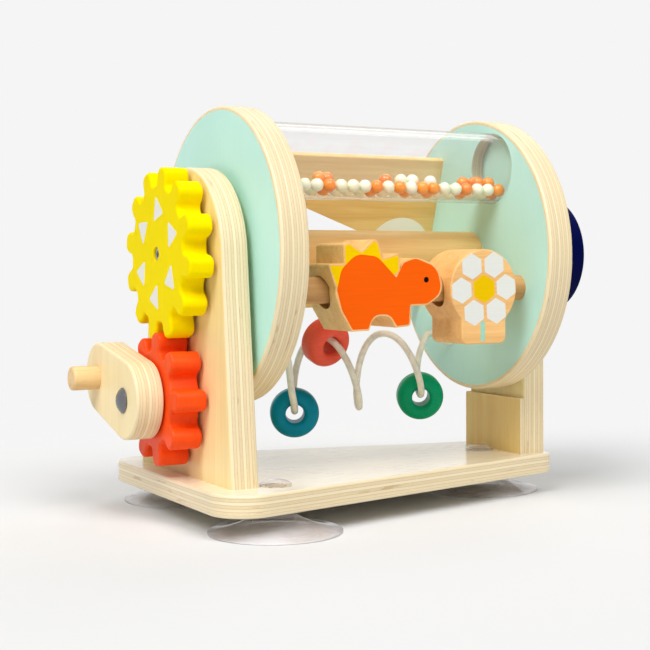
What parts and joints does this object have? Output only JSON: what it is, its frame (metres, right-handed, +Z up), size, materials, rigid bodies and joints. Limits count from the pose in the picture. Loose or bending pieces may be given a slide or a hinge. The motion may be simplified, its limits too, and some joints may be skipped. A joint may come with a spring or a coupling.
{
  "type": "wooden crank gear toy",
  "caption": "Tabletop wooden activity drum turned by a crank through spur gears, with beads on a coil, a rattle tube, spinning blocks and suction feet.",
  "frame": {"origin": "middle of the bounding box on the plane of the suction feet", "axes": "+X along the drum's axle from the crank to the blue knob, +Y to the back, +Z up"},
  "size_m": [0.2558, 0.164, 0.193],
  "materials": {
    "pale_plywood": "satin lacquer",
    "mint_plywood": "matte paint",
    "beech": "satin lacquer",
    "basswood_panel": "satin lacquer",
    "yellow_paint": "satin paint",
    "red_paint": "satin paint",
    "teal_paint": "gloss paint",
    "coral_paint": "gloss paint",
    "green_paint": "gloss paint",
    "navy_paint": "gloss paint",
    "orange_ball": "glossy",
    "cream_ball": "glossy",
    "coated_wire": "smooth coating",
    "clear_tube": "clear",
    "clear_cup": "clear, soft",
    "steel": "zinc plated",
    "chrome": "polished",
    "bush_plastic": "moulded",
    "pale_paint": "satin paint"
  },
  "bodies": {
    "stand": {"base_board": "pale_plywood", "left_upright": "pale_plywood", "right_upright": "pale_plywood", "right_spacer_plate": "pale_plywood", "upright_screws": "steel", "left_bushing": "bush_plastic", "right_bushing": "bush_plastic", "drum_washer": "bush_plastic", "crank_washer": "bush_plastic", "crank_bolt": "chrome", "crank_tnut": "steel", "suction_cup_front_left": "clear_cup", "suction_cup_rear_left": "clear_cup", "suction_cup_right": "clear_cup"},
    "drum": {"left_disc": "mint_plywood", "right_disc": "mint_plywood", "core_dowel": "beech", "bead_tube": "clear_tube", "back_panel": "basswood_panel", "round_inlay": "pale_paint", "spinner_rod": "beech", "coil_wire": "coated_wire", "left_axle": "steel", "right_axle": "steel", "yellow_gear": "yellow_paint", "gear_screw": "steel", "blue_knob": "navy_paint"},
    "crank": {"red_gear": "red_paint", "crank_arm": "pale_plywood", "crank_peg": "beech", "crank_sleeve": "bush_plastic", "crank_spacer": "bush_plastic"},
    "dinosaur": {"dinosaur_block": "beech"},
    "flower": {"flower_block": "beech"},
    "teal_ring": {"teal_ring": "teal_paint"},
    "coral_bead": {"coral_bead": "coral_paint"},
    "green_ring": {"green_ring": "green_paint"},
    "rattle_balls": {"rattle_balls_orange": "orange_ball", "rattle_balls_cream": "cream_ball"}
  },
  "joints": [
    {"name": "drum_spin", "type": "hinge", "parent": "stand", "child": "drum", "pos_m": [0.0099, 0, 0.123], "axis": [1, 0, 0], "continuous": true},
    {"name": "crank_spin", "type": "hinge", "parent": "stand", "child": "crank", "pos_m": [0.0099, 0, 0.0563], "axis": [1, 0, 0], "continuous": true},
    {"name": "dinosaur_spin", "type": "hinge", "parent": "drum", "child": "dinosaur", "pos_m": [0.0099, -0.04347, 0.10649], "axis": [1, 0, 0], "continuous": true},
    {"name": "flower_spin", "type": "hinge", "parent": "drum", "child": "flower", "pos_m": [0.0099, -0.04347, 0.10649], "axis": [1, 0, 0], "continuous": true},
    {"name": "teal_ring_spin", "type": "hinge", "parent": "drum", "child": "teal_ring", "pos_m": [-0.02451, 0.00612, 0.04536], "axis": [0.3999, 0.9135, 0.0749], "continuous": true},
    {"name": "coral_bead_spin", "type": "hinge", "parent": "drum", "child": "coral_bead", "pos_m": [-0.01004, 0.001, 0.07982], "axis": [0.1395, -0.9322, -0.3341], "continuous": true},
    {"name": "green_ring_spin", "type": "hinge", "parent": "drum", "child": "green_ring", "pos_m": [0.0477, 0.00577, 0.05008], "axis": [0.3996, 0.9081, 0.1251], "continuous": true},
    {"name": "rattle_tumble", "type": "hinge", "parent": "drum", "child": "rattle_balls", "pos_m": [0.0099, -0.01995, 0.16699], "axis": [1, 0, 0], "continuous": true}
  ],
  "couplings": [
    {"joint": "crank_spin", "follows": "drum_spin", "ratio": -1.3333}
  ]
}
